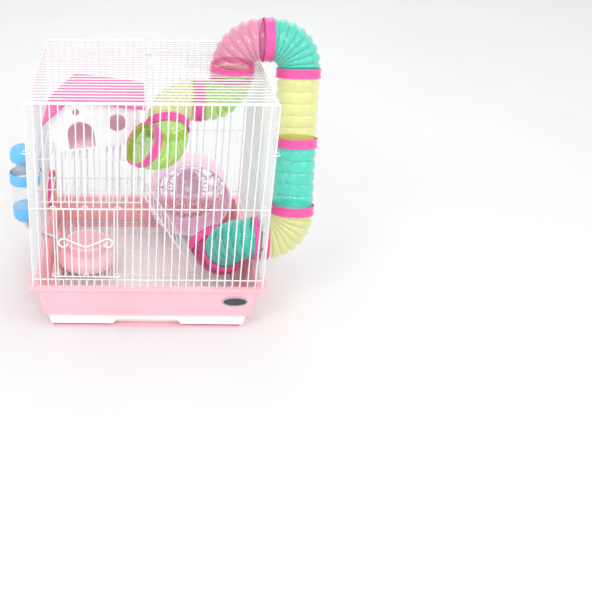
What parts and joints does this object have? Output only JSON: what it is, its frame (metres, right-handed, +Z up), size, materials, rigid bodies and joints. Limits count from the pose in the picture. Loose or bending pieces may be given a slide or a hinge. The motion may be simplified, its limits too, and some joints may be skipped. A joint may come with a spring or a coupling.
{
  "type": "hamster cage",
  "caption": "Wire hamster cage on a plastic base with a litter drawer, wheel, house, bottle and colourful climbing tubes.",
  "frame": {"origin": "middle of the underside of the plastic base, on the floor", "axes": "+Z up, -Y towards the front with the door and drawer, +X to the right with the outer tubes"},
  "size_m": [0.411, 0.2621, 0.3968],
  "materials": {
    "base_plastic": "satin",
    "white_plastic": "satin",
    "white_wire": "gloss coat",
    "badge_plastic": "gloss",
    "wheel_plastic": "gloss",
    "bowl_plastic": "gloss",
    "magenta_plastic": "gloss",
    "blue_plastic": "gloss",
    "clear_plastic": "clear gloss",
    "steel": "polished",
    "pink_tube": "translucent gloss",
    "teal_tube": "translucent gloss",
    "yellow_tube": "translucent gloss",
    "lime_tube": "translucent gloss"
  },
  "bodies": {
    "base": {"base_tub": "base_plastic", "floor_grate": "white_wire", "food_bowl": "bowl_plastic", "badge": "badge_plastic"},
    "litter_drawer": {"drawer": "white_plastic"},
    "cage_top": {"back_panel": "white_wire", "bottle_holder": "blue_plastic", "corner_clip_back_left": "white_wire", "corner_clip_back_right": "white_wire", "corner_clip_front_left": "white_wire", "corner_clip_front_right": "white_wire", "front_panel": "white_wire", "house_body": "white_plastic", "house_roof": "magenta_plastic", "ladder": "white_wire", "left_panel": "white_wire", "lower_elbow_teal": "teal_tube", "lower_mouth_elbow": "pink_tube", "lower_mouth_ring": "magenta_plastic", "lower_ring_middle": "magenta_plastic", "lower_shelf": "white_wire", "outer_elbow_pink": "pink_tube", "outer_elbow_teal": "teal_tube", "outer_elbow_yellow": "yellow_tube", "outer_ring_lower": "magenta_plastic", "outer_ring_middle": "magenta_plastic", "outer_ring_top": "magenta_plastic", "outer_ring_upper": "magenta_plastic", "outer_tube_teal": "teal_tube", "outer_tube_yellow": "yellow_tube", "port_plate_left": "clear_plastic", "port_plate_right": "clear_plastic", "port_plate_roof": "clear_plastic", "port_ring_left_inner": "magenta_plastic", "port_ring_right_inner": "magenta_plastic", "port_ring_right_outer": "magenta_plastic", "port_ring_roof_inner": "magenta_plastic", "port_ring_roof_outer": "magenta_plastic", "right_panel": "white_wire", "roof_panel": "white_wire", "upper_elbow_lime": "lime_tube", "upper_elbow_yellow": "yellow_tube", "upper_mouth_elbow": "lime_tube", "upper_mouth_ring": "magenta_plastic", "upper_ring_front": "magenta_plastic", "upper_ring_side": "magenta_plastic", "upper_shelf": "white_wire", "wheel_axle": "white_plastic", "wheel_bracket": "wheel_plastic"},
    "sliding_door": {"front_door": "white_wire"},
    "hatch": {"roof_hatch": "white_wire"},
    "running_wheel": {"wheel": "wheel_plastic"},
    "bottle": {"bottle_body": "clear_plastic", "bottle_top_cap": "blue_plastic", "bottle_bottom_cap": "blue_plastic", "sipper_tube": "steel"},
    "dome": {"dome_cap": "yellow_tube"}
  },
  "joints": [
    {"name": "drawer_slide", "type": "slide", "parent": "base", "child": "litter_drawer", "axis": [0, -1, 0], "range_m": [0, 0.2]},
    {"name": "cage_lift", "type": "slide", "parent": "base", "child": "cage_top", "axis": [0, 0, 1], "range_m": [0, 0.15]},
    {"name": "door_lift", "type": "slide", "parent": "cage_top", "child": "sliding_door", "axis": [0, 0, 1], "range_m": [0, 0.09]},
    {"name": "hatch_hinge", "type": "hinge", "parent": "cage_top", "child": "hatch", "pos_m": [0, 0.005, 0.3276], "axis": [0, -1, 0], "range_deg": [0, 150]},
    {"name": "wheel_spin", "type": "hinge", "parent": "cage_top", "child": "running_wheel", "pos_m": [0.068, 0.112, 0.092], "axis": [0, 1, 0], "continuous": true},
    {"name": "bottle_pull", "type": "slide", "parent": "cage_top", "child": "bottle", "axis": [0, 0, 1], "range_m": [0, 0.07]},
    {"name": "dome_pull", "type": "slide", "parent": "cage_top", "child": "dome", "axis": [-1, 0, 0], "range_m": [0, 0.04]}
  ]
}
